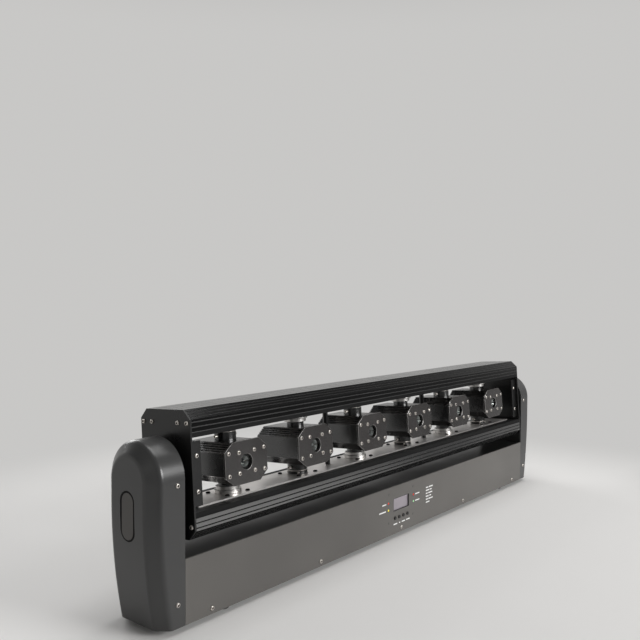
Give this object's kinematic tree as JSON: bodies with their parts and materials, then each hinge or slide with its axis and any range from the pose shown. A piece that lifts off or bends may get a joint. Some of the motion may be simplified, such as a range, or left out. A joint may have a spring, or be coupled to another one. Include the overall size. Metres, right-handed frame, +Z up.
{
  "type": "moving laser bar",
  "caption": "Long stage laser bar: a base with a control panel and end arms carries a tilting fluted frame of octagonal laser heads, each panning on its own pivot.",
  "frame": {"origin": "on the floor under the middle of the bar", "axes": "+X along the bar to the right as seen from the front, -Y out of the control panel, +Z up"},
  "size_m": [0.992, 0.0988, 0.2516],
  "materials": {
    "black_sheet": "black powder coat with a fine texture",
    "panel_grey": "satin dark grey coat",
    "cover_plastic": "dark grey moulded plastic with a soft sheen",
    "black_anodised": "black anodised extrusion with fine draw lines",
    "head_black": "black anodised and finned",
    "bare_aluminium": "bright brushed sheet",
    "bright_steel": "turned and zinc plated",
    "motor_steel": "turned motor body",
    "motor_black": "black stepper motor",
    "rubber_black": "moulded rubber",
    "window_glass": "coated flat glass",
    "display": "pale backlit display under a clear pane",
    "circuit_board": "green board",
    "indicator": "clear tinted domes",
    "button_black": "moulded caps",
    "socket_black": "moulded inserts",
    "supply_case": "folded sheet case",
    "laser_brass": "turned barrel"
  },
  "bodies": {
    "base": {"base_chassis": "black_sheet", "front_panel": "panel_grey", "top_cover": "black_sheet", "rubber_feet": "rubber_black", "case_screws": "bright_steel", "display_screen": "display", "control_board": "circuit_board", "indicator_leds": "indicator", "power_supply": "supply_case", "power_sockets": "socket_black", "data_sockets": "socket_black", "fuse_holder": "socket_black", "left_end_cover": "cover_plastic", "right_end_cover": "cover_plastic", "left_side_arm": "black_sheet", "right_side_arm": "black_sheet", "tilt_bearings": "bright_steel", "tilt_motor": "motor_black", "tilt_belt": "rubber_black"},
    "tilt_frame": {"upper_rail": "black_anodised", "lower_rail": "black_anodised", "left_end_plate": "black_anodised", "right_end_plate": "black_anodised", "left_hub_bracket": "black_sheet", "right_hub_bracket": "black_sheet", "mounting_trays": "bare_aluminium", "pan_motors": "motor_steel", "pan_bearings": "bright_steel", "frame_screws": "bright_steel", "tilt_shafts": "bright_steel", "tilt_pulley": "supply_case"},
    "tilt_drive": {"motor_pulley": "supply_case"},
    "laser_head_1": {"head_1_housing": "head_black", "head_1_front_plate": "head_black", "head_1_window": "window_glass", "head_1_laser_module": "laser_brass"},
    "laser_head_2": {"head_2_housing": "head_black", "head_2_front_plate": "head_black", "head_2_window": "window_glass", "head_2_laser_module": "laser_brass"},
    "laser_head_3": {"head_3_housing": "head_black", "head_3_front_plate": "head_black", "head_3_window": "window_glass", "head_3_laser_module": "laser_brass"},
    "laser_head_4": {"head_4_housing": "head_black", "head_4_front_plate": "head_black", "head_4_window": "window_glass", "head_4_laser_module": "laser_brass"},
    "laser_head_5": {"head_5_housing": "head_black", "head_5_front_plate": "head_black", "head_5_window": "window_glass", "head_5_laser_module": "laser_brass"},
    "laser_head_6": {"head_6_housing": "head_black", "head_6_front_plate": "head_black", "head_6_window": "window_glass", "head_6_laser_module": "laser_brass"},
    "menu_button_1": {"menu_button_1": "button_black"},
    "menu_button_2": {"menu_button_2": "button_black"},
    "menu_button_3": {"menu_button_3": "button_black"},
    "menu_button_4": {"menu_button_4": "button_black"}
  },
  "joints": [
    {"name": "tilt", "type": "hinge", "parent": "base", "child": "tilt_frame", "pos_m": [0, 0, 0.17398], "axis": [1, 0, 0], "range_deg": [-106, 114]},
    {"name": "tilt_drive_spin", "type": "hinge", "parent": "base", "child": "tilt_drive", "pos_m": [0, 0, 0.045], "axis": [1, 0, 0], "range_deg": [-300, 322]},
    {"name": "pan_1", "type": "hinge", "parent": "tilt_frame", "child": "laser_head_1", "pos_m": [-0.34225, 0, 0.17398], "axis": [0, 0.0698, 0.9976], "range_deg": [-90, 90]},
    {"name": "pan_2", "type": "hinge", "parent": "tilt_frame", "child": "laser_head_2", "pos_m": [-0.20535, 0, 0.17398], "axis": [0, 0.0698, 0.9976], "range_deg": [-90, 90]},
    {"name": "pan_3", "type": "hinge", "parent": "tilt_frame", "child": "laser_head_3", "pos_m": [-0.06845, 0, 0.17398], "axis": [0, 0.0698, 0.9976], "range_deg": [-90, 90]},
    {"name": "pan_4", "type": "hinge", "parent": "tilt_frame", "child": "laser_head_4", "pos_m": [0.06845, 0, 0.17398], "axis": [0, 0.0698, 0.9976], "range_deg": [-90, 90]},
    {"name": "pan_5", "type": "hinge", "parent": "tilt_frame", "child": "laser_head_5", "pos_m": [0.20535, 0, 0.17398], "axis": [0, 0.0698, 0.9976], "range_deg": [-90, 90]},
    {"name": "pan_6", "type": "hinge", "parent": "tilt_frame", "child": "laser_head_6", "pos_m": [0.34225, 0, 0.17398], "axis": [0, 0.0698, 0.9976], "range_deg": [-90, 90]},
    {"name": "press_1", "type": "slide", "parent": "base", "child": "menu_button_1", "axis": [0, 1, 0], "range_m": [0, 0.0008], "stiffness_N_per_m": 300},
    {"name": "press_2", "type": "slide", "parent": "base", "child": "menu_button_2", "axis": [0, 1, 0], "range_m": [0, 0.0008], "stiffness_N_per_m": 300},
    {"name": "press_3", "type": "slide", "parent": "base", "child": "menu_button_3", "axis": [0, 1, 0], "range_m": [0, 0.0008], "stiffness_N_per_m": 300},
    {"name": "press_4", "type": "slide", "parent": "base", "child": "menu_button_4", "axis": [0, 1, 0], "range_m": [0, 0.0008], "stiffness_N_per_m": 300}
  ],
  "couplings": [
    {"joint": "tilt_drive_spin", "follows": "tilt", "ratio": 2.8}
  ]
}
